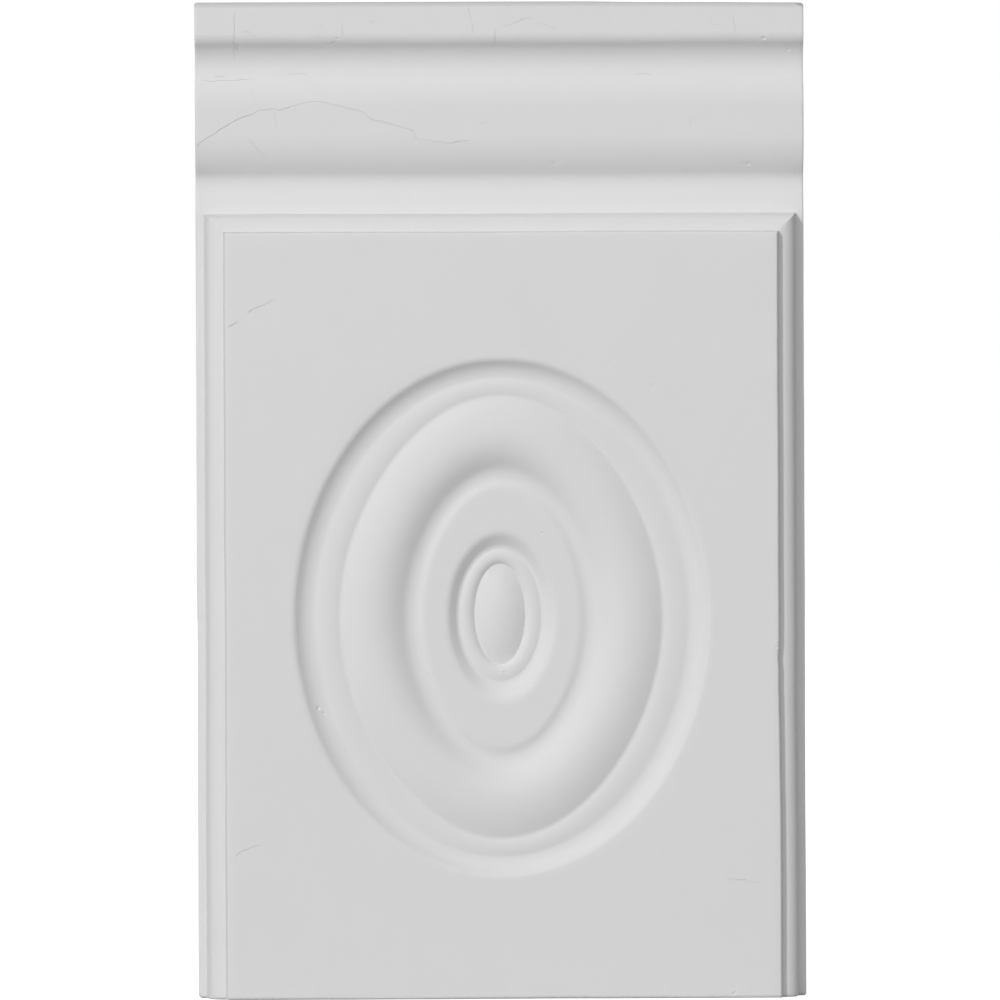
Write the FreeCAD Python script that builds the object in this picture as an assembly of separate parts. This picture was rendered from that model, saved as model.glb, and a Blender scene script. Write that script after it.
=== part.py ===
"""Plinth block: the one-piece cast block that stands on the floor under a door casing.

The block is drawn standing on its base: X runs across it, Y runs back to the wall and Z runs up.
The origin is on the floor in the middle of the block's width and depth, and the front faces -Y.
A projection is a distance out from the wall face.  All sizes are in millimetres.
"""
import FreeCAD
import Part
import math
import os
from FreeCAD import Vector

# Overall block
BLOCK_WIDTH = 139.7
BLOCK_HEIGHT = 228.6
BLOCK_DEPTH = 28.6

# Raised frame round the panel, named from the panel's edge out to the block's edge
PANEL_ARRIS = 0.5
RISER_HEIGHT = 2.2
RISER_DRAFT = math.radians(20)
OVOLO_WIDTH = 2.9
OVOLO_DROP = 1.9
STEP_HEIGHT = 3.7
STEP_DRAFT = math.radians(15)
FILLET_WIDTH = 1.85

# Cap moulding, named from the top of the block down to the frame
TOP_ARRIS = 0.4
FASCIA_HEIGHT = 7.5
COVE_HEIGHT = 7.1
COVE_DEPTH = 3.8
SWELL_HEIGHT = 9.2
SWELL_RISE = 2.6
CREST_HEIGHT = 6.9
FALL_HEIGHT = 10.8
FALL_DEPTH = 3.8
HOLLOW_HEIGHT = 2.0
SPLAY_HEIGHT = 5.0
SPLAY_ANGLE = math.radians(17)

# Where each curve of the cap turns from its first arc to its second, as a share of its height
COVE_TURN = 0.30
SWELL_TURN = 0.38
FALL_TURN = 0.77

# Oval bullseye, named from its middle out.  Each ring has a run across, a run up and the depth of
# its outer edge below the panel.
BUTTON_TOP_DEPTH = 3.6
BUTTON_ACROSS = 5.8
BUTTON_UP = 11.5
BUTTON_EDGE_DEPTH = 5.3
INNER_BEAD_ACROSS = 2.1
INNER_BEAD_UP = 2.0
INNER_BEAD_DEPTH = 4.75
WELL_ACROSS = 1.7
WELL_UP = 1.9
WELL_DEPTH = 5.1
WELL_SIDE_ACROSS = 4.6
WELL_SIDE_UP = 5.5
SHELF_ACROSS = 3.0
SHELF_UP = 8.0
SHELF_DEPTH = 3.0
LIP_ACROSS = 3.2
LIP_UP = 3.1
VALLEY_DEPTH = 3.55
ROLL_INSIDE_ACROSS = 9.2
ROLL_INSIDE_UP = 9.7
ROLL_DEPTH = 0.2
ROLL_OUTSIDE_ACROSS = 7.7
ROLL_OUTSIDE_UP = 9.0
QUIRK_DEPTH = 2.3
OUTER_BEAD_ACROSS = 2.2
OUTER_BEAD_UP = 1.8
OUTER_BEAD_DEPTH = 2.05
GROOVE_ACROSS = 3.8
GROOVE_UP = 2.8
GROOVE_DEPTH = 2.5
RIM_ACROSS = 4.7
RIM_UP = 4.3

# Where the bullseye's longer curves turn, as a share of their run
WELL_SIDE_TURN = 0.27
LIP_TURN = 0.50
ROLL_INSIDE_TURN = 0.30
GROOVE_TURN = 0.75

# How many ovals carry the loft of each ring, and how far the bullseye's cutter stands proud of the panel
RING_STEPS = 4
RIM_STEPS = 6
CUTTER_OVERRUN = 3.0

# Places worked out from the sizes above
ARRIS_DROP = PANEL_ARRIS * math.tan((math.pi / 2 - RISER_DRAFT) / 2)
OVOLO_START = (RISER_HEIGHT - ARRIS_DROP) * math.tan(RISER_DRAFT)
OVOLO_END = OVOLO_START + OVOLO_WIDTH
FRAME_WIDTH = OVOLO_END + STEP_HEIGHT * math.tan(STEP_DRAFT)
FIELD = BLOCK_DEPTH - RISER_HEIGHT - OVOLO_DROP - STEP_HEIGHT
HOLLOW = FIELD - SPLAY_HEIGHT * math.tan(SPLAY_ANGLE)
HOLLOW_RISE = HOLLOW_HEIGHT * math.tan(SPLAY_ANGLE / 2)
FASCIA = HOLLOW - HOLLOW_RISE + FALL_DEPTH - SWELL_RISE + COVE_DEPTH
CAP_CURVES_HEIGHT = COVE_HEIGHT + SWELL_HEIGHT + CREST_HEIGHT + FALL_HEIGHT + HOLLOW_HEIGHT + SPLAY_HEIGHT
FRAME_TOP = BLOCK_HEIGHT - FASCIA_HEIGHT - CAP_CURVES_HEIGHT
PANEL_TOP = FRAME_TOP - FRAME_WIDTH
PANEL_HALF_WIDTH = BLOCK_WIDTH / 2 - FILLET_WIDTH - FRAME_WIDTH
BULLSEYE_HEIGHT = PANEL_TOP / 2


def at(x, projection, z):
    """A point of the block, from its place across, its distance out from the wall and its height."""
    return Vector(x, BLOCK_DEPTH / 2 - projection, z)


def arc_point(run, rise, share):
    """A point on the arc that starts level and bends up to (run, rise), at a share of its angle."""
    if rise == 0:
        return run * share, 0.0
    radius = (run * run + rise * rise) / (2 * rise)
    angle = 2 * math.atan(rise / run) * share
    return radius * math.sin(angle), radius * (1 - math.cos(angle))


def ogee_point(run, rise, turn, share):
    """A point on two tangent arcs that start and end level and meet at the turn, a share of the run."""
    if turn > 0 and share <= turn:
        return arc_point(run * turn, rise * turn, share / turn)
    back_run, back_rise = arc_point(run * (1 - turn), rise * (1 - turn), (1 - share) / (1 - turn))
    return run - back_run, rise - back_rise


def line(start, end):
    return Part.LineSegment(start, end).toShape()


def arc(start, middle, end):
    return Part.Arc(start, middle, end).toShape()


def ogee_edges(top, height, rise, turn):
    """The two arcs of a cap curve in the side section, from (projection, z) down by its height."""
    projection, z = top

    def place(share):
        run, out = ogee_point(height, rise, turn, share)
        return at(0, projection + out, z - run)

    first = arc(place(0), place(turn / 2), place(turn))
    second = arc(place(turn), place((1 + turn) / 2), place(1))
    return [first, second], (projection + rise, z - height)


def cap_and_field():
    """The full-width body: the side section of the cap moulding and the plain field, drawn out across X."""
    fascia_foot = (FASCIA, BLOCK_HEIGHT - FASCIA_HEIGHT)
    cove, cove_foot = ogee_edges(fascia_foot, COVE_HEIGHT, -COVE_DEPTH, COVE_TURN)
    swell, crest_top = ogee_edges(cove_foot, SWELL_HEIGHT, SWELL_RISE, SWELL_TURN)
    crest_foot = (crest_top[0], crest_top[1] - CREST_HEIGHT)
    fall, fall_foot = ogee_edges(crest_foot, FALL_HEIGHT, -FALL_DEPTH, FALL_TURN)
    hollow_start = at(0, *fall_foot)
    middle_run, middle_rise = arc_point(HOLLOW_HEIGHT, HOLLOW_RISE, 0.5)
    hollow_middle = at(0, fall_foot[0] + middle_rise, fall_foot[1] - middle_run)
    splay_top = at(0, HOLLOW, FRAME_TOP + SPLAY_HEIGHT)
    splay_foot = at(0, FIELD, FRAME_TOP)
    field_foot = at(0, FIELD, 0)

    round_back = at(0, FASCIA - TOP_ARRIS, BLOCK_HEIGHT)
    round_front = at(0, FASCIA, BLOCK_HEIGHT - TOP_ARRIS)
    inset = TOP_ARRIS * (1 - math.sqrt(0.5))
    round_middle = at(0, FASCIA - inset, BLOCK_HEIGHT - inset)
    outline = [
        line(at(0, 0, 0), at(0, 0, BLOCK_HEIGHT)),
        line(at(0, 0, BLOCK_HEIGHT), round_back),
        arc(round_back, round_middle, round_front),
        line(round_front, at(0, *fascia_foot)),
        *cove,
        *swell,
        line(at(0, *crest_top), at(0, *crest_foot)),
        *fall,
        arc(hollow_start, hollow_middle, splay_top),
        line(splay_top, splay_foot),
        line(splay_foot, field_foot),
        line(field_foot, at(0, 0, 0)),
    ]
    section = Part.Face(Part.Wire(Part.__sortEdges__(outline)))
    section.translate(Vector(-BLOCK_WIDTH / 2, 0, 0))
    return section.extrude(Vector(BLOCK_WIDTH, 0, 0))


def frame_edge(place):
    """The frame's edge from the face of the panel out to its foot; place(out, projection) gives points,
    with out measured from the edge of the panel."""
    arris_run, arris_drop = arc_point(PANEL_ARRIS, ARRIS_DROP, 0.5)
    arris_start = place(-PANEL_ARRIS, BLOCK_DEPTH)
    arris_middle = place(arris_run - PANEL_ARRIS, BLOCK_DEPTH - arris_drop)
    riser_top = place(0, BLOCK_DEPTH - ARRIS_DROP)
    riser_foot = BLOCK_DEPTH - RISER_HEIGHT
    ovolo_run, ovolo_drop = arc_point(OVOLO_WIDTH, OVOLO_DROP, 0.5)
    ovolo_start = place(OVOLO_START, riser_foot)
    ovolo_middle = place(OVOLO_START + ovolo_run, riser_foot - ovolo_drop)
    ovolo_end = place(OVOLO_END, riser_foot - OVOLO_DROP)
    step_foot = place(FRAME_WIDTH, FIELD)
    return [
        arc(arris_start, arris_middle, riser_top),
        line(riser_top, ovolo_start),
        arc(ovolo_start, ovolo_middle, ovolo_end),
        line(ovolo_end, step_foot),
        line(step_foot, place(FRAME_WIDTH, 0)),
    ]


def framed_panel():
    """The raised panel with its ovolo frame: two sections drawn out at right angles, which mitre where
    they cross."""

    def right(out, projection):
        return at(PANEL_HALF_WIDTH + out, projection, 0)

    def left(out, projection):
        return at(-PANEL_HALF_WIDTH - out, projection, 0)

    def top(out, projection):
        return at(-BLOCK_WIDTH / 2, projection, PANEL_TOP + out)

    across = [
        *frame_edge(left),
        *frame_edge(right),
        line(left(-PANEL_ARRIS, BLOCK_DEPTH), right(-PANEL_ARRIS, BLOCK_DEPTH)),
        line(left(FRAME_WIDTH, 0), right(FRAME_WIDTH, 0)),
    ]
    base_front = at(-BLOCK_WIDTH / 2, BLOCK_DEPTH, 0)
    base_back = at(-BLOCK_WIDTH / 2, 0, 0)
    upright = [
        *frame_edge(top),
        line(top(-PANEL_ARRIS, BLOCK_DEPTH), base_front),
        line(base_front, base_back),
        line(base_back, top(FRAME_WIDTH, 0)),
    ]
    across_face = Part.Face(Part.Wire(Part.__sortEdges__(across)))
    upright_face = Part.Face(Part.Wire(Part.__sortEdges__(upright)))
    upwards = across_face.extrude(Vector(0, 0, BLOCK_HEIGHT))
    sideways = upright_face.extrude(Vector(BLOCK_WIDTH, 0, 0))
    return upwards.common(sideways)


def oval(across, up, depth):
    """The ellipse of the bullseye with these half axes, at a depth below the panel."""
    projection = BLOCK_DEPTH - depth
    top = at(0, projection, BULLSEYE_HEIGHT + up)
    side = at(across, projection, BULLSEYE_HEIGHT)
    middle = at(0, projection, BULLSEYE_HEIGHT)
    return Part.Wire(Part.Ellipse(top, side, middle).toShape())


def ring(inner, outer, turn, steps=RING_STEPS):
    """The ovals of one ring, from its inner (across, up, depth) out to its outer one."""
    across, up, depth = (b - a for a, b in zip(inner, outer))
    ovals = []
    for step in range(steps + 1):
        run, rise = ogee_point(across, depth, turn, step / steps)
        ovals.append((inner[0] + run, inner[1] + run * up / across, inner[2] + rise))
    return ovals


def skin(*rings):
    """One smooth surface through the ovals of rings that run on from each other."""
    ovals = [rings[0][0]] + [place for one in rings for place in one[1:]]
    sections = [
        oval(*place) if place[0] > 0 else Part.Vertex(at(0, BLOCK_DEPTH - place[2], BULLSEYE_HEIGHT))
        for place in ovals
    ]
    return Part.makeLoft(sections, False, False)


def bullseye_air():
    """The space in front of the bullseye, from its rings out past the face of the panel."""
    middle = (0, 0, BUTTON_TOP_DEPTH)
    places = [middle]
    for across, up, depth in (
        (BUTTON_ACROSS, BUTTON_UP, BUTTON_EDGE_DEPTH),
        (INNER_BEAD_ACROSS, INNER_BEAD_UP, INNER_BEAD_DEPTH),
        (WELL_ACROSS, WELL_UP, WELL_DEPTH),
        (WELL_SIDE_ACROSS, WELL_SIDE_UP, SHELF_DEPTH),
        (SHELF_ACROSS, SHELF_UP, SHELF_DEPTH),
        (LIP_ACROSS, LIP_UP, VALLEY_DEPTH),
        (ROLL_INSIDE_ACROSS, ROLL_INSIDE_UP, ROLL_DEPTH),
        (ROLL_OUTSIDE_ACROSS, ROLL_OUTSIDE_UP, QUIRK_DEPTH),
        (OUTER_BEAD_ACROSS, OUTER_BEAD_UP, OUTER_BEAD_DEPTH),
        (GROOVE_ACROSS, GROOVE_UP, GROOVE_DEPTH),
        (RIM_ACROSS, RIM_UP, 0),
    ):
        places.append((places[-1][0] + across, places[-1][1] + up, depth))
    middle, button, inner_bead, well, shelf_in, shelf_out = places[:6]
    valley, roll, quirk, outer_bead, groove, rim = places[6:]
    shelf = Part.Face(oval(*shelf_out)).cut(Part.Face(oval(*shelf_in)))
    mouth = (rim[0], rim[1], -CUTTER_OVERRUN)
    surfaces = [
        skin(ring(middle, button, 1)),
        skin(ring(button, inner_bead, 0), ring(inner_bead, well, 1)),
        skin(ring(well, shelf_in, WELL_SIDE_TURN)),
        shelf,
        skin(
            ring(shelf_out, valley, LIP_TURN),
            ring(valley, roll, ROLL_INSIDE_TURN),
            ring(roll, quirk, 1),
        ),
        skin(
            ring(quirk, outer_bead, 0, RIM_STEPS),
            ring(outer_bead, groove, GROOVE_TURN, RIM_STEPS),
            ring(groove, rim, 1, RIM_STEPS),
        ),
        Part.makeLoft([oval(*rim), oval(*mouth)], False, True),
        Part.Face(oval(*mouth)),
    ]
    sewn = Part.Compound([face for surface in surfaces for face in surface.Faces])
    sewn.sewShape()
    return Part.makeSolid(sewn.Shells[0])


def plinth_block():
    block = cap_and_field().fuse(framed_panel()).removeSplitter()
    block = block.cut(bullseye_air())
    return block.Solids[0]


os.makedirs("parts", exist_ok=True)
plinth_block().exportStep("parts/plinth_block.step")
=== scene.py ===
"""A primed plinth block, standing as it does at the foot of a door casing."""
import math

import bmesh
import bpy
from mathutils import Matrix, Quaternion, Vector, noise


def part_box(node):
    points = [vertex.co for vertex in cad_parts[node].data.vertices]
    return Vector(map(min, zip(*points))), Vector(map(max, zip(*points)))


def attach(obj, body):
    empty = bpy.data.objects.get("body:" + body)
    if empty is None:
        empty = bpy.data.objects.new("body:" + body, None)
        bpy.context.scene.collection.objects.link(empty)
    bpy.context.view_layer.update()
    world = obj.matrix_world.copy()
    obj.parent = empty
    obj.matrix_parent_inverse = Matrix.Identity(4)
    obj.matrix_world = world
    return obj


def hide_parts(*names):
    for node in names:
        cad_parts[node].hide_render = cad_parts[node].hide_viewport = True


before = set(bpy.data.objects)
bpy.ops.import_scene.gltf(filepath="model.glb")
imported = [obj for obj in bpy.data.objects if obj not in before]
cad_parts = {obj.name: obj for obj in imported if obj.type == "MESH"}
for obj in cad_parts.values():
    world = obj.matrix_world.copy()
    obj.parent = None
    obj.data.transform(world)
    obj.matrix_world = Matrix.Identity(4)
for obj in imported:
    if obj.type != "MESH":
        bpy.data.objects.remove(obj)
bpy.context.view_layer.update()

# The face of the block.
# The block is one piece of rigid foam, poured in a mould.  The mould gives its face a cap moulding of a
# fascia, a cove and an ogee, and under it a raised panel in an ovolo frame that runs off square at the floor.

mm = 0.001
low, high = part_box("plinth_block")
half_width = high.x
block_height = high.z
panel_face = low.y
wall_face = high.y


def arc_offsets(run, rise, steps):
    """Points along an arc that starts level and ends after going run along and rise across."""
    if abs(rise) < 1e-9:
        return [(run * step / steps, 0.0) for step in range(steps + 1)]
    radius = (run * run + rise * rise) / (2 * rise)
    bend = 2 * math.atan(rise / run)
    angles = [bend * step / steps for step in range(steps + 1)]
    return [(radius * math.sin(a), radius * (1 - math.cos(a))) for a in angles]


def ogee_offsets(run, rise, turn, steps):
    """Points along two tangent arcs that start and end level and meet at the turn, a share of the run."""
    first = arc_offsets(run * turn, rise * turn, steps) if turn > 0 else [(0, 0)]
    second = arc_offsets(run * (1 - turn), rise * (1 - turn), steps) if turn < 1 else [(0, 0)]
    return first + [(run - along, rise - across) for along, across in second[-2::-1]]


def spread(start, end, cells):
    """Evenly spaced places from start up to end, without end itself."""
    return [start + (end - start) * i / cells for i in range(cells)]


panel_arris = 0.5 * mm
riser_height, riser_draft = 2.2 * mm, math.radians(12)
ovolo_width, ovolo_drop = 3.5 * mm, 1.8 * mm
step_height, step_draft = 3.7 * mm, math.radians(12.5)
fillet_width = 1.85 * mm
edge_round, base_round = 0.4 * mm, 0.7 * mm
panel_lean, panel_lift = 0.3 * mm, 0.2 * mm

arris_drop = panel_arris * math.tan((math.pi / 2 - riser_draft) / 2)
ovolo_start = (riser_height - arris_drop) * math.tan(riser_draft)
frame_width = ovolo_start + ovolo_width + step_height * math.tan(step_draft)
field_drop = riser_height + ovolo_drop + step_height
frame_edge = [(along - panel_arris, drop) for along, drop in arc_offsets(panel_arris, arris_drop, 4)]
frame_edge += [
    (ovolo_start + along, riser_height + drop) for along, drop in arc_offsets(ovolo_width, ovolo_drop, 8)
]
frame_edge += [(frame_width, field_drop)]

top_arris = 0.6 * mm
fascia_height = 7.15 * mm
cove_height, cove_depth, cove_turn = 7.45 * mm, 3.55 * mm, 0.34
swell_height, swell_rise, swell_turn = 9.2 * mm, 2.6 * mm, 0.38
crest_height = 6.9 * mm
fall_height, fall_depth, fall_turn = 10.8 * mm, 3.95 * mm, 0.77
hollow_height = 2.0 * mm
splay_height, splay_angle = 5.0 * mm, math.radians(17)

hollow_rise = hollow_height * math.tan(splay_angle / 2)
splay_rise = splay_height * math.tan(splay_angle)
fascia_drop = field_drop + splay_rise + hollow_rise - fall_depth + swell_rise - cove_depth
curves_height = cove_height + swell_height + crest_height + fall_height + hollow_height + splay_height
panel_half_width = half_width - fillet_width - frame_width
panel_top = block_height - fascia_height - curves_height - frame_width

# The bullseye's opening is a rectangle of whole cells a little larger than its oval rim, which lies as far
# out as the runs of all its rings together.
bullseye_middle = panel_top / 2 - 0.3 * mm
rim_across, rim_up = 48.35 * mm, 59.9 * mm
opening_margin = 2.5 * mm
opening_half_width = rim_across + opening_margin
opening_half_height = rim_up + opening_margin
opening_cells_across = 64
opening_cells_up = 76
border_cells = 8

# Each column has its place across, its drop below the panel and how far the block's side edge rounds it back.
edge_offsets = arc_offsets(edge_round, edge_round, 3)
frame_side = [(panel_half_width + out, drop) for out, drop in frame_edge]
fillet_side = [(x, 0.0) for x in spread(half_width - fillet_width, half_width - edge_round, 4)[1:]]
block_side = fillet_side + [(half_width - edge_round + out, back) for out, back in edge_offsets]
flat_edge = panel_half_width - panel_arris
columns = [(-x, field_drop, back) for x, back in reversed(block_side)]
columns += [(panel_lean * (1 - drop / field_drop) - x, drop, 0.0) for x, drop in reversed(frame_side)]
columns += [(x, 0.0, 0.0) for x in spread(panel_lean - flat_edge, -opening_half_width, border_cells)[1:]]
opening_left = len(columns)
columns += [(x, 0.0, 0.0) for x in spread(-opening_half_width, opening_half_width, opening_cells_across)]
opening_right = len(columns)
columns += [(x, 0.0, 0.0) for x in spread(opening_half_width, panel_lean + flat_edge, border_cells)]
columns += [(panel_lean * (1 - drop / field_drop) + x, drop, 0.0) for x, drop in frame_side]
columns += [(x, field_drop, back) for x, back in block_side]

# Each row has its height, the drop of the frame's top run, the drop of the cap or field, and its rounding.
past_frame = 1.0
lower_end = bullseye_middle - opening_half_height
upper_end = bullseye_middle + opening_half_height
base_offsets = arc_offsets(base_round, base_round, 4)
rows = [(base_round - out, 0.0, field_drop, back) for out, back in reversed(base_offsets)]
rows += [(z, 0.0, field_drop, 0.0) for z in spread(base_round, 2 * base_round, 3)[1:]]
rows += [(z, 0.0, field_drop, 0.0) for z in spread(2 * base_round, lower_end, 16)]
opening_bottom = len(rows)
rows += [(z, 0.0, field_drop, 0.0) for z in spread(lower_end, upper_end, opening_cells_up)]
opening_top = len(rows)
rows += [(z, 0.0, field_drop, 0.0) for z in spread(upper_end, panel_top + panel_lift - panel_arris, 16)]
rows += [
    (panel_top + out + panel_lift * (1 - drop / field_drop), drop, field_drop, 0.0)
    for out, drop in frame_edge
]

top_offsets = arc_offsets(top_arris, top_arris, 5)
cap = [(block_height - top_arris + out, fascia_drop + back) for out, back in reversed(top_offsets)]
cap += [(z, fascia_drop) for z in spread(block_height - top_arris, block_height - fascia_height, 16)[1:]]
z, drop = block_height - fascia_height, fascia_drop
for run, rise, turn in (
    (cove_height, cove_depth, cove_turn),
    (swell_height, -swell_rise, swell_turn),
    (crest_height, 0.0, 0.5),
    (fall_height, fall_depth, fall_turn),
    (hollow_height, -hollow_rise, 1.0),
):
    cap += [(z - along, drop + across) for along, across in ogee_offsets(run, rise, turn, 8)[:-1]]
    z, drop = z - run, drop + rise
cap += [(z - splay_height * step / 4, drop - splay_rise * step / 4) for step in range(4)]
rows += [(z, past_frame, drop, 0.0) for z, drop in reversed(cap)]

casting = bmesh.new()
sheet = {}
mitre = set()
for i, (x, side_drop, side_back) in enumerate(columns):
    for j, (z, top_drop, body_drop, base_back) in enumerate(rows):
        if opening_left < i < opening_right and opening_bottom < j < opening_top:
            continue
        drop = min(body_drop, max(side_drop, top_drop)) + side_back + base_back
        sheet[i, j] = casting.verts.new((x, panel_face + drop, z))
        if abs(side_drop - top_drop) < 1e-9:
            mitre.add((i, j))
for i in range(len(columns) - 1):
    for j in range(len(rows) - 1):
        if opening_left <= i < opening_right and opening_bottom <= j < opening_top:
            continue
        corners = [(i, j), (i + 1, j), (i + 1, j + 1), (i, j + 1)]
        on_mitre = [corner in mitre for corner in corners]
        if on_mitre == [True, False, True, False]:
            loops = [corners[:3], corners[2:] + corners[:1]]
        elif on_mitre == [False, True, False, True]:
            loops = [corners[1:], corners[3:] + corners[:2]]
        else:
            loops = [corners]
        for loop in loops:
            casting.faces.new([sheet[corner] for corner in loop])

# The bullseye.
# A turned oval ornament, cast in one with the panel: a button in a well, a shelf, a broad round roll and a
# beaded rim.  The button sits a little to the left and above the middle.

# Each ring is an oval moulding, given by its run across, its run up and the depth of its outer edge, all in
# mm, then the share of its run at which its curve turns, or none where it is straight, and the share by which
# its outer edge is drawn in on the diagonals.
bullseye_rings = {
    "button": (5.8, 11.5, 5.65, 1.0, 0.0),
    "inner bead": (1.9, 1.8, 4.8, 0.06, 0.0),
    "well": (1.7, 1.9, 5.15, 0.92, 0.0),
    "well foot": (1.0, 1.35, 4.736, 1.0, 0.0),
    "well side": (1.05, 1.55, 3.683, None, 0.0),
    "well edge": (1.65, 2.1, 3.0, 0.0, 0.0),
    "shelf": (4.1, 8.9, 3.0, 0.5, 0.015),
    "lip": (2.95, 3.1, 3.55, 0.5, 0.02),
    "roll inside": (9.45, 9.5, 0.2, 0.30, 0.023),
    "roll outside": (7.55, 9.2, 2.2, 0.90, 0.025),
    "outer bead": (2.3, 1.8, 1.95, 0.15, 0.02),
    "groove": (3.85, 2.4, 2.35, 0.75, 0.005),
    "rim": (5.05, 4.8, 0.0, 0.70, 0.0),
}
button_top = 3.75
button_shift = (-0.3 * mm, 0.0, 0.7 * mm)
ring_steps = 4

ovals = [(0.0, button_top * mm, 0.0)]
pinches = [0.0]
for across, up, depth, turn, pinch in bullseye_rings.values():
    start, start_pinch = ovals[-1], pinches[-1]
    run, rise = across * mm, depth * mm - start[1]
    offsets = [(run, rise)] if turn is None else ogee_offsets(run, rise, turn, ring_steps)[1:]
    ovals += [(start[0] + along, start[1] + deep, start[2] + along * up / across) for along, deep in offsets]
    pinches += [start_pinch + (pinch - start_pinch) * along / run for along, deep in offsets]


def width_to(name):
    """Half the width of the bullseye out to the edge of a ring."""
    names = list(bullseye_rings)
    return sum(bullseye_rings[inner][0] for inner in names[: names.index(name) + 1]) * mm


class Value:
    """A socket of a node tree.  Sums and products of values add Math nodes to the same tree."""

    def __init__(self, tree, socket=None):
        self.tree = tree
        self.socket = socket

    def add(self, kind, settings=None, inputs=None, out=0):
        """Adds a node of any kind: its settings are set first, then the values or links of its sockets."""
        node = self.tree.nodes.new(kind)
        for name, setting in (settings or {}).items():
            setattr(node, name, setting)
        for key, value in (inputs or {}).items():
            for part in value if isinstance(value, list) else [value]:
                if isinstance(part, Value):
                    self.tree.links.new(part.socket, node.inputs[key])
                else:
                    node.inputs[key].default_value = part
        return Value(self.tree, node.outputs[out] if len(node.outputs) else None)

    def maths(self, operation, *values):
        return self.add("ShaderNodeMath", {"operation": operation}, dict(enumerate((self,) + values)))

    def __add__(self, other):
        return self.maths("ADD", other)

    def __sub__(self, other):
        return self.maths("SUBTRACT", other)

    def __rsub__(self, other):
        return (self * -1) + other

    def __mul__(self, other):
        return self.maths("MULTIPLY", other)

    def __truediv__(self, other):
        return self.maths("DIVIDE", other)

    __radd__ = __add__
    __rmul__ = __mul__


def shaping_tree(name, result, **inputs):
    """A Geometry Nodes tree with named inputs; gives the tree and the values of its inputs."""
    tree = bpy.data.node_groups.new(name, "GeometryNodeTree")
    tree.is_modifier = True
    for label, kind in inputs.items():
        tree.interface.new_socket(label, in_out="INPUT", socket_type="NodeSocket" + kind)
    tree.interface.new_socket(result, in_out="OUTPUT", socket_type="NodeSocketGeometry")
    entry = tree.nodes.new("NodeGroupInput")
    return tree, [Value(tree, socket) for socket in list(entry.outputs)[:-1]]


def shaped(piece, tree, **values):
    """The mesh that a tree makes of a piece, with the tree's inputs set to these values."""
    modifier = piece.modifiers.new(tree.name, "NODES")
    modifier.node_group = tree
    for item in tree.interface.items_tree:
        if item.name in values:
            modifier[item.identifier] = values[item.name]
    mesh = bpy.data.meshes.new_from_object(piece.evaluated_get(bpy.context.evaluated_depsgraph_get()))
    piece.modifiers.remove(modifier)
    return mesh


primer = bpy.data.materials.new("primer")
turning, (profile, spoke_count, middle, bead_edge, well_edge, shift, coat) = shaping_tree(
    "oval turning",
    "Bullseye",
    Profile="Geometry",
    Spokes="Int",
    Middle="Float",
    BeadEdge="Float",
    WellEdge="Float",
    ButtonShift="Vector",
    Primer="Material",
)
shaping = Value(turning)
ring_count = shaping.add("GeometryNodeAttributeDomainSize", inputs={"Geometry": profile}, out="Point Count")
grid = shaping.add("GeometryNodeMeshGrid", inputs={"Vertices X": ring_count, "Vertices Y": spoke_count + 1})
index = shaping.add("GeometryNodeInputIndex")
ring = (index / (spoke_count + 1)).maths("FLOOR")
angle = (index - ring * (spoke_count + 1)) / spoke_count * (2 * math.pi)
position = shaping.add("GeometryNodeInputPosition")
oval = shaping.add(
    "GeometryNodeSampleIndex",
    {"data_type": "FLOAT_VECTOR"},
    {"Geometry": profile, "Value": position, "Index": ring},
)
across, deep, up = (shaping.add("ShaderNodeSeparateXYZ", inputs={0: oval}, out=axis) for axis in "XYZ")
pinch = shaping.add(
    "GeometryNodeSampleIndex",
    {"data_type": "FLOAT"},
    {
        "Geometry": profile,
        "Value": shaping.add("GeometryNodeInputNamedAttribute", {"data_type": "FLOAT"}, {"Name": "pinch"}),
        "Index": ring,
    },
)
drawn_in = 1 - pinch * (angle * 2).maths("SINE").maths("POWER", 2.0)
point = shaping.add(
    "ShaderNodeCombineXYZ",
    inputs={
        "X": across * angle.maths("COSINE") * drawn_in,
        "Y": deep,
        "Z": middle + up * angle.maths("SINE") * drawn_in,
    },
)
inside = shaping.add(
    "ShaderNodeMapRange",
    inputs={"Value": across, "From Min": well_edge, "From Max": bead_edge, "To Min": 0.0, "To Max": 1.0},
)
shift = shaping.add("ShaderNodeVectorMath", {"operation": "SCALE"}, {"Vector": shift, "Scale": inside})
turned = shaping.add("GeometryNodeSetPosition", inputs={"Geometry": grid, "Position": point, "Offset": shift})
turned = shaping.add("GeometryNodeMergeByDistance", inputs={"Geometry": turned, "Distance": 0.001 * mm})
turned = shaping.add("GeometryNodeRealizeInstances", inputs={"Geometry": turned})
turned = shaping.add("GeometryNodeSetMaterial", inputs={"Geometry": turned, "Material": coat})
turning.links.new(turned.socket, turning.nodes.new("NodeGroupOutput").inputs["Bullseye"])

profile_mesh = bpy.data.meshes.new("bullseye profile")
profile_mesh.from_pydata([(across, panel_face + deep, up) for across, deep, up in ovals], [], [])
profile_mesh.attributes.new("pinch", "FLOAT", "POINT").data.foreach_set("value", pinches)
bullseye = bpy.data.objects.new("bullseye", profile_mesh)
bpy.context.scene.collection.objects.link(bullseye)
spokes = 2 * (opening_cells_across + opening_cells_up)
bullseye_mesh = shaped(
    bullseye,
    turning,
    Spokes=spokes,
    Middle=bullseye_middle,
    BeadEdge=width_to("inner bead"),
    WellEdge=width_to("well edge"),
    ButtonShift=button_shift,
    Primer=primer,
)
bpy.data.objects.remove(bullseye)

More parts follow.
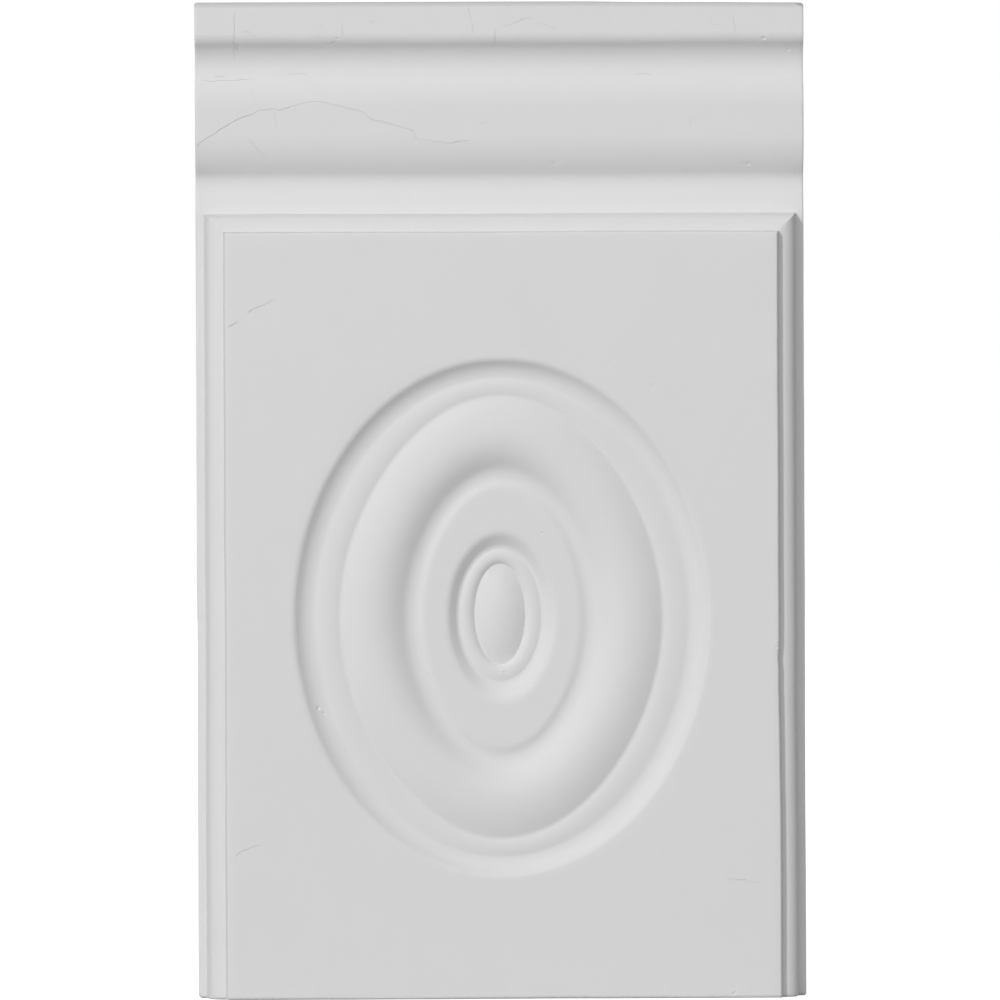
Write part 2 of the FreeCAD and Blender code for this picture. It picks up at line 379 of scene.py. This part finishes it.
# The flat of the panel between the oval rim and the rectangular opening runs in rings of the same spokes.
bridge_rings = 5
half_up = (opening_bottom + opening_top) // 2
opening = [(opening_right, j) for j in range(half_up, opening_top)]
opening += [(i, opening_top) for i in range(opening_right, opening_left, -1)]
opening += [(opening_left, j) for j in range(opening_top, opening_bottom, -1)]
opening += [(i, opening_bottom) for i in range(opening_left, opening_right)]
opening += [(opening_right, j) for j in range(opening_bottom, half_up)]
bridge = []
for spoke, corner in enumerate(opening):
    angle = 2 * math.pi * spoke / spokes
    rim = Vector((rim_across * math.cos(angle), panel_face, bullseye_middle + rim_up * math.sin(angle)))
    outer = sheet[corner]
    inner = [casting.verts.new(rim.lerp(outer.co, step / bridge_rings)) for step in range(bridge_rings)]
    bridge.append(inner + [outer])
for spoke in range(spokes):
    here, there = bridge[spoke - 1], bridge[spoke]
    for step in range(bridge_rings):
        casting.faces.new([here[step], here[step + 1], there[step + 1], there[step]])
casting.from_mesh(bullseye_mesh)

# The sides and the back.
# The sides are straight from the mould, and the back is the open side of the pour, sanded flat to sit on the
# wall with its sharp edge eased.

side_cells = 6
back_ease = 0.3 * mm
back_cell = 6
last_column, last_row = len(columns) - 1, len(rows) - 1
outline = [(i, 0) for i in range(last_column)]
outline += [(last_column, j) for j in range(last_row)]
outline += [(i, last_row) for i in range(last_column, 0, -1)]
outline += [(0, j) for j in range(last_row, 0, -1)]


def on_back(x, z):
    """A place of the outline drawn in by the eased edge, on the wall face."""
    middle = block_height / 2
    return x * (1 - back_ease / half_width), wall_face, middle + (z - middle) * (1 - back_ease / middle)


walls = {}
back = {}
for corner in outline:
    front = sheet[corner]
    x, y, z = front.co
    depths = spread(y, wall_face - back_ease, side_cells)[1:] + [wall_face - back_ease]
    back[corner] = casting.verts.new(on_back(x, z))
    walls[corner] = [front] + [casting.verts.new((x, depth, z)) for depth in depths] + [back[corner]]
for here, there in zip(outline, outline[1:] + outline[:1]):
    for step in range(side_cells + 1):
        near, far = walls[here], walls[there]
        casting.faces.new([near[step], near[step + 1], far[step + 1], far[step]])


def back_edge(start, end):
    """The back's corners from start towards end: all those of the outline, or only start inside it."""
    steps = max(abs(end[0] - start[0]), abs(end[1] - start[1]))
    run = [
        (start[0] + (end[0] - start[0]) * s // steps, start[1] + (end[1] - start[1]) * s // steps)
        for s in range(steps)
    ]
    run = run if all(corner in walls for corner in run + [end]) and steps else run[:1]
    for corner in run:
        if corner not in back:
            back[corner] = casting.verts.new(on_back(columns[corner[0]][0], rows[corner[1]][0]))
    return [back[corner] for corner in run]


back_columns = list(range(0, last_column - back_cell // 2, back_cell)) + [last_column]
back_rows = list(range(0, last_row - back_cell // 2, back_cell)) + [last_row]
for left, right in zip(back_columns, back_columns[1:]):
    for lower, upper in zip(back_rows, back_rows[1:]):
        corners = [(left, lower), (left, upper), (right, upper), (right, lower)]
        sides = zip(corners, corners[1:] + corners[:1])
        casting.faces.new([vert for start, end in sides for vert in back_edge(start, end)])
bmesh.ops.remove_doubles(casting, verts=casting.verts[:], dist=0.005 * mm)
bmesh.ops.recalc_face_normals(casting, faces=casting.faces[:])

# The wear.
# Handling has rounded the block's corners, broken a flake off the top right one and nicked the panel's right
# edge.  The foam has settled a little out of true in curing, most of all at the right end of the top and in
# the frame's right run below the nick, and the coat has hairline cracks and small pits.

corner_rounds = {(-1, 0): 1.0 * mm, (1, 0): 0.6 * mm, (-1, 1): 0.5 * mm, (1, 1): 0.7 * mm}
sag, sag_start = 0.42 * mm, 20 * mm
flake_point = Vector((half_width - 2.6 * mm, panel_face + fascia_drop, block_height - sag))
flake_facing = Vector((0.36, -0.50, 0.90))
nick_middle, nick_length, nick_depth = 76.0 * mm, 6.5 * mm, 0.22 * mm
nick_reach, nick_grain = 1.2 * mm, 3.2 * mm
nick_back = panel_face + riser_height * 0.7
leaning_run, leaning_reach, leaning = 63.5 * mm, 6.3 * mm, 0.36 * mm
leaning_start, leaning_end = 75 * mm, 40 * mm
sway, sway_length = 0.12 * mm, 32 * mm
ripple, ripple_length = 0.04 * mm, 9 * mm
hollowing, hollowing_length = 0.11 * mm, 26 * mm
dimpling, dimpling_length = 0.03 * mm, 8 * mm


def drift(place, length, row):
    """A smooth chance value from -1 to 1, with one row of them for each direction."""
    return noise.noise(place / length + Vector((0.0, 40.0 * row, 0.0)))


# Each point of the casting takes the corner rounds, the sag, the flake, the nick, the lean and the settling.
for vert in casting.verts:
    x, y, z = vert.co
    for (side, end), radius in corner_rounds.items():
        u = (side * x - half_width) / radius + 1
        v = (abs(z - (1 - end) * block_height) - block_height) / radius + 1
        if u > 0 and v > 0:
            x = side * (half_width - radius + radius * u * math.sqrt(1 - v * v / 2))
            from_end = radius - radius * v * math.sqrt(1 - u * u / 2)
            z = block_height - from_end if end else from_end
    up_fascia = (z - block_height + fascia_height) / fascia_height
    if x > sag_start and up_fascia > 0:
        z -= sag * up_fascia * math.sin((x - sag_start) / (half_width - sag_start) * math.pi / 2)
    place = Vector((x, y, z))
    place.y -= max(0.0, (place - flake_point).dot(flake_facing)) / flake_facing.y
    from_edge = panel_lean + panel_half_width - x
    nick_place = (z - nick_middle) / nick_length
    if abs(nick_place) < 1 and abs(from_edge) < nick_reach and y < nick_back:
        bite = (1 - nick_place ** 2) * (0.6 + 0.9 * drift(place, nick_grain, 4)) * nick_depth
        bite = max(0.0, bite) * (1 - abs(from_edge) / nick_reach)
        place.x -= bite
        place.y += bite
    if abs(x - leaning_run) < leaning_reach and y < panel_face + field_drop:
        down = max(0.0, min(1.0, (leaning_start - z) / (leaning_start - leaning_end)))
        place.x += leaning * down * down * (3 - 2 * down) * (1 - ((x - leaning_run) / leaning_reach) ** 2)
    if y < wall_face - back_ease:
        moved = Vector()
        moved.x = sway * drift(place, sway_length, 0) + ripple * drift(place, ripple_length, 1)
        moved.z = sway * drift(place, sway_length, 2) + ripple * drift(place, ripple_length, 3)
        moved.y = hollowing * (0.5 + 0.5 * drift(place, hollowing_length, 5))
        moved.y += dimpling * (0.5 + 0.5 * drift(place, dimpling_length, 6))
        place += moved
    place.x = max(-half_width, min(half_width, place.x))
    place.z = max(0.0, min(block_height, place.z))
    vert.co = place

worn_mesh = bpy.data.meshes.new("worn block")
casting.to_mesh(worn_mesh)
casting.free()
worn_block = bpy.data.objects.new("worn block", worn_mesh)
bpy.context.scene.collection.objects.link(worn_block)

# Each hairline runs through places given by their distance across and up and its half width there; all in mm.
hairlines = [
    [
        (-69.6, 195.2, 0.11),
        (-68.0, 196.8, 0.13),
        (-64.8, 198.9, 0.13),
        (-60.0, 201.9, 0.13),
        (-56.4, 203.1, 0.11),
        (-55.2, 204.0, 0.10),
        (-51.6, 204.1, 0.09),
        (-50.4, 203.8, 0.11),
        (-46.2, 205.1, 0.09),
        (-41.6, 206.0, 0.07),
        (-36.1, 204.6, 0.09),
        (-31.3, 203.5, 0.08),
        (-29.2, 201.6, 0.11),
        (-25.3, 200.7, 0.10),
        (-19.5, 198.9, 0.11),
        (-19.1, 197.3, 0.09),
        (-16.0, 196.7, 0.09),
        (-11.0, 196.1, 0.14),
        (-6.4, 197.0, 0.09),
    ],
    [(-57.0, 210.0, 0.06), (-56.6, 207.0, 0.05), (-55.6, 204.6, 0.06)],
    [(-51.6, 203.3, 0.06), (-51.2, 200.5, 0.05), (-50.6, 198.3, 0.04)],
    [(-57.9, 198.2, 0.11), (-54.7, 194.1, 0.12), (-52.9, 192.7, 0.09)],
    [(-5.5, 200.5, 0.07), (-1.8, 201.2, 0.06)],
    [(-68.7, 210.7, 0.10), (-62.0, 210.8, 0.09), (-56.1, 211.1, 0.08)],
    [(-66.0, 211.8, 0.09), (-61.8, 211.6, 0.09)],
    [(-49.6, 212.2, 0.08), (-43.4, 212.2, 0.08)],
    [(30.6, 211.9, 0.08), (36.1, 211.9, 0.08)],
    [(-59.8, 227.1, 0.06), (-60.7, 225.3, 0.08), (-60.8, 218.0, 0.08), (-60.9, 214.8, 0.06)],
    [(-60.2, 219.8, 0.06), (-60.2, 217.0, 0.06)],
    [(-59.5, 222.1, 0.10), (-57.5, 221.8, 0.12), (-54.9, 220.0, 0.10)],
    [(-41.3, 224.9, 0.06), (-40.1, 221.3, 0.08)],
    [(-42.6, 220.3, 0.07), (-40.1, 221.5, 0.08)],
    [(-39.4, 218.8, 0.09), (-37.8, 219.6, 0.11), (-36.4, 219.8, 0.13)],
    [(-35.8, 224.0, 0.06), (-36.0, 219.9, 0.09)],
    [(-29.9, 223.0, 0.07), (-29.0, 224.0, 0.08), (-27.8, 224.4, 0.07)],
    [(-7.1, 227.6, 0.07), (-6.4, 224.8, 0.09), (-6.0, 221.8, 0.09), (-5.1, 220.2, 0.08)],
    [(-0.9, 223.0, 0.07), (-1.1, 217.3, 0.09)],
    [(0.0, 222.5, 0.07), (6.7, 224.8, 0.08), (11.3, 223.0, 0.08), (14.0, 221.8, 0.07)],
    [(47.1, 224.8, 0.07), (48.9, 223.2, 0.08), (51.9, 222.5, 0.08)],
    [(53.5, 225.5, 0.08), (54.7, 220.0, 0.08)],
    [(43.9, 202.8, 0.07), (43.9, 198.9, 0.07)],
    [(-62.8, 153.8, 0.11), (-60.9, 155.1, 0.14), (-59.7, 155.8, 0.10)],
    [
        (-58.4, 157.1, 0.11),
        (-57.5, 157.6, 0.13),
        (-55.8, 158.5, 0.10),
        (-53.8, 159.4, 0.07),
        (-51.2, 160.8, 0.06),
    ],
    [
        (-61.4, 32.3, 0.09),
        (-60.4, 33.7, 0.10),
        (-59.1, 34.4, 0.11),
        (-57.0, 35.3, 0.09),
        (-54.5, 35.8, 0.07),
    ],
    [(50.8, 27.3, 0.09), (54.9, 27.1, 0.10), (57.2, 26.6, 0.10), (60.0, 26.6, 0.09)],
]
hairline_data = bpy.data.curves.new("hairlines", "CURVE")
hairline_data.dimensions = "3D"
in_front = panel_face - 5 * mm
for places in hairlines:
    spline = hairline_data.splines.new("POLY")
    spline.points.add(len(places) - 1)
    for point, (x, z, half_gap) in zip(spline.points, places):
        point.co = (x * mm, in_front, z * mm, 1.0)
        point.radius = half_gap * mm
hairline_route = bpy.data.objects.new("hairlines", hairline_data)
bpy.context.scene.collection.objects.link(hairline_route)

# Each pit or dent has its place across and up, its half width and its depth; all in mm.
pits = [
    (-42.0, 66.8, 0.50, 0.22),
    (-40.9, 65.6, 0.40, 0.14),
    (-16.8, 74.1, 0.30, 0.08),
    (-16.0, 73.4, 0.25, 0.06),
    (0.7, 74.8, 0.35, 0.14),
    (9.4, 106.7, 0.35, 0.14),
    (14.7, 104.6, 0.28, 0.10),
    (32.4, 111.0, 0.25, 0.08),
    (25.5, 146.1, 0.55, 0.05),
    (34.9, 140.4, 0.65, 0.06),
    (55.8, 27.1, 0.30, 0.16),
    (53.0, 1.1, 0.50, 0.16),
    (57.2, 191.3, 0.55, 0.10),
    (12.6, 191.5, 0.45, 0.08),
    (-30.8, 213.3, 0.50, 0.06),
    (60.7, 220.0, 0.60, 0.18),
    (-37.0, 220.2, 0.40, 0.10),
    (-39.1, 219.1, 0.30, 0.08),
    (66.6, 217.5, 0.40, 0.12),
    (63.1, 82.1, 0.28, 0.12),
    (63.0, 80.3, 0.32, 0.14),
    (63.2, 78.8, 0.22, 0.10),
]
pit_mesh = bpy.data.meshes.new("pits")
pit_mesh.from_pydata([(x * mm, in_front, z * mm) for x, z, wide, deep in pits], [], [])
for name, sizes in (
    ("ball", [(wide * wide + deep * deep) / (2 * deep) * mm for x, z, wide, deep in pits]),
    ("deep", [deep * mm for x, z, wide, deep in pits]),
):
    pit_mesh.attributes.new(name, "FLOAT", "POINT").data.foreach_set("value", sizes)
pit_places = bpy.data.objects.new("pits", pit_mesh)
bpy.context.scene.collection.objects.link(pit_places)

wearing, (block, route, places, reach, wander, seed, coat) = shaping_tree(
    "wear",
    "Block",
    Block="Geometry",
    Hairlines="Object",
    Pits="Object",
    Reach="Float",
    Wander="Float",
    Seed="Float",
    Primer="Material",
)
shaping = Value(wearing)
position = shaping.add("GeometryNodeInputPosition")


def jitter(per_metre, detail):
    """A vector of chance values from -0.5 to 0.5 that changes along the hairlines."""
    cloud = shaping.add(
        "ShaderNodeTexNoise",
        {"noise_dimensions": "4D"},
        {"Vector": position, "W": seed, "Scale": per_metre, "Detail": detail, "Roughness": 0.65},
        out="Color",
    )
    return shaping.add("ShaderNodeVectorMath", {"operation": "SUBTRACT"}, {0: cloud, 1: (0.5, 0.5, 0.5)})


def landing(out):
    """Where, or facing which way, a point in front of the block lands on its face."""
    return shaping.add(
        "GeometryNodeRaycast",
        inputs={
            "Target Geometry": block,
            "Source Position": position,
            "Ray Direction": (0.0, 1.0, 0.0),
            "Ray Length": reach,
        },
        out=out,
    )


def laid(geometry, lift):
    """The points of a geometry, laid on the block's face and lifted off it."""
    raised = shaping.add(
        "ShaderNodeVectorMath", {"operation": "SCALE"}, {"Vector": landing("Hit Normal"), "Scale": lift}
    )
    ground = shaping.add(
        "ShaderNodeVectorMath", {"operation": "ADD"}, {0: landing("Hit Position"), 1: raised}
    )
    return shaping.add(
        "GeometryNodeSetPosition",
        inputs={"Geometry": geometry, "Selection": landing("Is Hit"), "Position": ground},
    )


crack_step, crack_tip, thinnest = 0.3 * mm, 1.2 * mm, 0.2
lines = shaping.add("GeometryNodeObjectInfo", inputs={"Object": route}, out="Geometry")
lines = shaping.add("GeometryNodeResampleCurve", {"mode": "LENGTH"}, {"Curve": lines, "Length": crack_step})
flat_jitter = shaping.add(
    "ShaderNodeVectorMath",
    {"operation": "MULTIPLY"},
    {0: jitter(per_metre=520.0, detail=4.0), 1: (1.0, 0.0, 1.0)},
)
aside = shaping.add("ShaderNodeVectorMath", {"operation": "SCALE"}, {"Vector": flat_jitter, "Scale": wander})
lines = shaping.add("GeometryNodeSetPosition", inputs={"Geometry": lines, "Offset": aside})
along = shaping.add("GeometryNodeSplineParameter", out="Length")
left_over = shaping.add("GeometryNodeSplineLength", out="Length") - along
half_gap = shaping.add("GeometryNodeInputRadius")
taper = (along.maths("MINIMUM", left_over) / crack_tip).maths("MINIMUM", 1.0).maths("MAXIMUM", thinnest)
uneven = shaping.add("ShaderNodeSeparateXYZ", inputs={0: jitter(per_metre=400.0, detail=1.0)}) * 1.6 + 1
lines = laid(lines, half_gap * -0.5)
thread = shaping.add("GeometryNodeCurvePrimitiveCircle", inputs={"Resolution": 5, "Radius": 1.0})
cuts = shaping.add(
    "GeometryNodeCurveToMesh",
    inputs={"Curve": lines, "Profile Curve": thread, "Scale": half_gap * taper * uneven, "Fill Caps": True},
)

ball, pit_depth = (
    shaping.add("GeometryNodeInputNamedAttribute", {"data_type": "FLOAT"}, {"Name": name})
    for name in ("ball", "deep")
)
dots = shaping.add("GeometryNodeObjectInfo", inputs={"Object": places}, out="Geometry")
dots = shaping.add("GeometryNodeMeshToPoints", inputs={"Mesh": laid(dots, ball - pit_depth)})
sphere = shaping.add("GeometryNodeMeshIcoSphere", inputs={"Radius": 1.0, "Subdivisions": 4})
balls = shaping.add(
    "GeometryNodeInstanceOnPoints", inputs={"Points": dots, "Instance": sphere, "Scale": ball}
)
balls = shaping.add("GeometryNodeRealizeInstances", inputs={"Geometry": balls})
worn = shaping.add(
    "GeometryNodeMeshBoolean",
    {"operation": "DIFFERENCE", "solver": "EXACT"},
    {"Mesh 1": block, "Mesh 2": [cuts, balls], "Self Intersection": True},
)
worn = shaping.add("GeometryNodeRealizeInstances", inputs={"Geometry": worn})
worn = shaping.add("GeometryNodeSetMaterial", inputs={"Geometry": worn, "Material": coat})
wearing.links.new(worn.socket, wearing.nodes.new("NodeGroupOutput").inputs["Block"])

cast_mesh = shaped(
    worn_block,
    wearing,
    Hairlines=hairline_route,
    Pits=pit_places,
    Reach=60 * mm,
    Wander=1.3 * mm,
    Seed=3.0,
    Primer=primer,
)
for aid in (worn_block, hairline_route, pit_places):
    bpy.data.objects.remove(aid)

# The cuts leave specks of a few thousandths of a millimetre, which are merged, and triangles folded flat on a
# neighbour, which go together with what they lie on.
speck = 0.002 * mm
cleaned = bmesh.new()
cleaned.from_mesh(cast_mesh)
bmesh.ops.remove_doubles(cleaned, verts=cleaned.verts[:], dist=speck)
many_sided = [face for face in cleaned.faces if len(face.verts) > 4]
bmesh.ops.triangulate(cleaned, faces=many_sided, ngon_method="BEAUTY")
triangles = {frozenset(face.verts) for face in cleaned.faces if len(face.verts) == 3}
for face in [face for face in cleaned.faces if len(face.verts) == 4]:
    corners = face.verts[:]
    for i, corner in enumerate(corners):
        if frozenset(corners) - {corner} in triangles:
            bmesh.utils.face_split(face, corners[i - 1], corners[i - 3])
            break
folded = {}
for face in cleaned.faces:
    folded.setdefault(frozenset(face.verts), []).append(face)
flaps = [face for faces in folded.values() if len(faces) > 1 for face in faces]
bmesh.ops.delete(cleaned, geom=flaps, context="FACES")
cleaned.to_mesh(cast_mesh)
cleaned.free()

# The primer.
# One sprayed coat of white primer covers the face and the sides.  It is matt and a little uneven, with the
# fine orange peel of a spray gun.  Grey painted shade darkens it along the top edge, and the broken corner's
# facet is painted the same darker grey; it thins out over the back to the bare foam.

primer.use_nodes = True
primer.node_tree.nodes.clear()
paint = Value(primer.node_tree)
place = paint.add("ShaderNodeTexCoord", out="Object")


def mottle(per_metre, detail):
    return paint.add("ShaderNodeTexNoise", inputs={"Vector": place, "Scale": per_metre, "Detail": detail})


# The top edge is painted darker grey as painted shade, in a band this high that fades out back from the
# fascia's face.
shade_band_height, shade_band_front, shade_band_back = 1.3 * mm, 0.4 * mm, 1.6 * mm
flake_edge, flake_fade = 0.1 * mm, 0.3 * mm
spray_reach, spray_stray = 0.35 * mm, 0.5 * mm
sideways, depth, up = (paint.add("ShaderNodeSeparateXYZ", inputs={0: place}, out=axis) for axis in "XYZ")
cloud = mottle(per_metre=70.0, detail=3.0)
fleck = mottle(per_metre=380.0, detail=2.0)
overspray = mottle(per_metre=160.0, detail=4.0)
bare = paint.add(
    "ShaderNodeMapRange",
    inputs={
        "Value": depth + (overspray - 0.5) * spray_stray,
        "From Min": wall_face - spray_reach,
        "From Max": wall_face,
    },
)
sagged = paint.add(
    "ShaderNodeMapRange",
    inputs={"Value": sideways, "From Min": sag_start, "From Max": half_width, "To Min": 0.0, "To Max": sag},
)
to_the_top = paint.add(
    "ShaderNodeMapRange",
    inputs={"Value": up + sagged, "From Min": block_height - shade_band_height, "From Max": block_height},
)
to_the_front = paint.add(
    "ShaderNodeMapRange",
    inputs={
        "Value": depth + (overspray - 0.5) * mm,
        "From Min": panel_face + fascia_drop + shade_band_back,
        "From Max": panel_face + fascia_drop + shade_band_front,
    },
)
to_the_flake = paint.add(
    "ShaderNodeVectorMath", {"operation": "DOT_PRODUCT"}, {0: place, 1: flake_facing}, out="Value"
)
flake_level = flake_point.dot(flake_facing)
flaked = paint.add(
    "ShaderNodeMapRange",
    inputs={
        "Value": to_the_flake,
        "From Min": flake_level - flake_fade,
        "From Max": flake_level - flake_edge,
    },
)
# The grey along the top edge is painted shade; the broken corner's facet is painted the same darker grey.
top_shade_and_flake_grey = (to_the_top * to_the_front).maths("MAXIMUM", flaked)
evenness = (cloud - 0.5) * 0.5 + (fleck - 0.5) * 0.35 + 0.5
coat_colour = paint.add(
    "ShaderNodeMix",
    {"data_type": "RGBA"},
    {"Factor": evenness, "A": (0.682, 0.682, 0.682, 1.0), "B": (0.718, 0.718, 0.718, 1.0)},
    out=2,
)
coat_with_shade_and_flake_grey = paint.add(
    "ShaderNodeMix",
    {"data_type": "RGBA"},
    {"Factor": top_shade_and_flake_grey, "A": coat_colour, "B": (0.48, 0.48, 0.48, 1.0)},
    out=2,
)
foam_colour = paint.add(
    "ShaderNodeMix",
    {"data_type": "RGBA"},
    {"Factor": overspray, "A": (0.54, 0.50, 0.41, 1.0), "B": (0.66, 0.63, 0.56, 1.0)},
    out=2,
)
surface_colour = paint.add(
    "ShaderNodeMix",
    {"data_type": "RGBA"},
    {"Factor": bare * 0.75, "A": coat_with_shade_and_flake_grey, "B": foam_colour},
    out=2,
)
along_back = paint.add("ShaderNodeVectorMath", {"operation": "MULTIPLY"}, {0: place, 1: (0.06, 1.0, 1.0)})
sanding = paint.add("ShaderNodeTexNoise", inputs={"Vector": along_back, "Scale": 1400.0, "Detail": 3.0})
foam_grain = bare * sanding * 4
peel = paint.add(
    "ShaderNodeBump",
    inputs={
        "Strength": 0.35,
        "Distance": 0.02 * mm,
        "Height": mottle(per_metre=900.0, detail=2.0) + foam_grain,
    },
)
shader = paint.add(
    "ShaderNodeBsdfPrincipled",
    inputs={
        "Base Color": surface_colour,
        "Roughness": (fleck - 0.5) * 0.16 + (bare * 0.12 + 0.74),
        "Specular IOR Level": 0.35,
        "Normal": peel,
    },
)
paint.add("ShaderNodeOutputMaterial", inputs={"Surface": shader})

cast_mesh.materials.clear()
cast_mesh.materials.append(primer)
for polygon in cast_mesh.polygons:
    polygon.use_smooth = True
    polygon.material_index = 0
sharp_edge = math.radians(28)
cast_mesh.set_sharp_from_angle(angle=sharp_edge)
cast_block = bpy.data.objects.new("cast_block", cast_mesh)
bpy.context.scene.collection.objects.link(cast_block)
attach(cast_block, "root")
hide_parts("plinth_block")

# The studio.
# The block stands on a plain white floor in a white surround, with one lamp at the upper left for its
# shadows, a wide soft one by the camera and another behind.


def white_rays(tree):
    """One for what the camera sees, straight or in a gloss or a glass, nought for what lights the block."""
    straight, gloss, clear = (
        tree.add("ShaderNodeLightPath", out=ray)
        for ray in ("Is Camera Ray", "Is Glossy Ray", "Is Transmission Ray")
    )
    return straight.maths("MAXIMUM", gloss.maths("MAXIMUM", clear))


floor_size, floor_glow = 4.0, 0.85
floor_mesh = bpy.data.meshes.new("floor")
floor_mesh.from_pydata(
    [
        (-floor_size, -floor_size, 0.0),
        (floor_size, -floor_size, 0.0),
        (floor_size, floor_size, 0.0),
        (-floor_size, floor_size, 0.0),
    ],
    [],
    [(0, 1, 2, 3)],
)
floor = bpy.data.objects.new("floor", floor_mesh)
bpy.context.scene.collection.objects.link(floor)
white = bpy.data.materials.new("white floor")
white.use_nodes = True
white.node_tree.nodes.clear()
paper = Value(white.node_tree)
diffuse = paper.add("ShaderNodeBsdfDiffuse", inputs={"Color": (0.44, 0.44, 0.44, 1.0)})
glow = paper.add(
    "ShaderNodeEmission",
    inputs={"Color": (1.0, 1.0, 1.0, 1.0), "Strength": white_rays(paper) * floor_glow},
)
both = paper.add("ShaderNodeAddShader", inputs={0: diffuse, 1: glow})
paper.add("ShaderNodeOutputMaterial", inputs={"Surface": both})
floor_mesh.materials.append(white)

world = bpy.data.worlds.new("surround")
bpy.context.scene.world = world
world.use_nodes = True
world.node_tree.nodes.clear()
sky = Value(world.node_tree)
surround_strength = 0.36
front_share = 0.42
to_the_back = sky.add(
    "ShaderNodeSeparateXYZ", inputs={0: sky.add("ShaderNodeTexCoord", out="Generated")}, out="Y"
)
seen = white_rays(sky)
strength = seen + (1 - seen) * (1 - to_the_back * front_share) * surround_strength
background = sky.add("ShaderNodeBackground", inputs={"Color": (1.0, 1.0, 1.0, 1.0), "Strength": strength})
sky.add("ShaderNodeOutputWorld", inputs={"Surface": background})

aim = Vector((0.0, panel_face, block_height / 2))
for name, direction, distance, size, energy in (
    ("key", Vector((-0.62, -1.0, 0.50)), 5.5, 0.45, 138.3),
    ("fill", Vector((-0.2, -1.0, 0.25)), 3.5, 2.8, 25.1),
    ("rear", Vector((-0.1, 1.0, 0.2)), 3.5, 2.8, 32.0),
):
    lamp_data = bpy.data.lights.new(name, "AREA")
    lamp_data.shape = "DISK"
    lamp_data.size = size
    lamp_data.energy = energy
    lamp = bpy.data.objects.new(name, lamp_data)
    direction.normalize()
    lamp.location = aim + direction * distance
    lamp.rotation_euler = direction.to_track_quat("Z", "Y").to_euler()
    bpy.context.scene.collection.objects.link(lamp)

camera_distance = 2.0
from_left = math.radians(0.6)
from_above = math.radians(0.6)
camera_roll = math.radians(-0.23)
view_width = 0.2289
camera_aim = aim + Vector((-0.25 * mm, 0.0, 0.03 * mm))
back_to_camera = Vector((-math.sin(from_left), -math.cos(from_left), math.tan(from_above))).normalized()
camera_data = bpy.data.cameras.new("camera")
camera_data.sensor_width = 36.0
camera_data.lens = camera_data.sensor_width * camera_distance / view_width
camera = bpy.data.objects.new("camera", camera_data)
camera.location = camera_aim + back_to_camera * camera_distance
upright = back_to_camera.to_track_quat("Z", "Y")
camera.rotation_euler = (Quaternion(back_to_camera, camera_roll) @ upright).to_euler()
bpy.context.scene.collection.objects.link(camera)
bpy.context.scene.camera = camera

bpy.context.scene.view_settings.view_transform = "Standard"
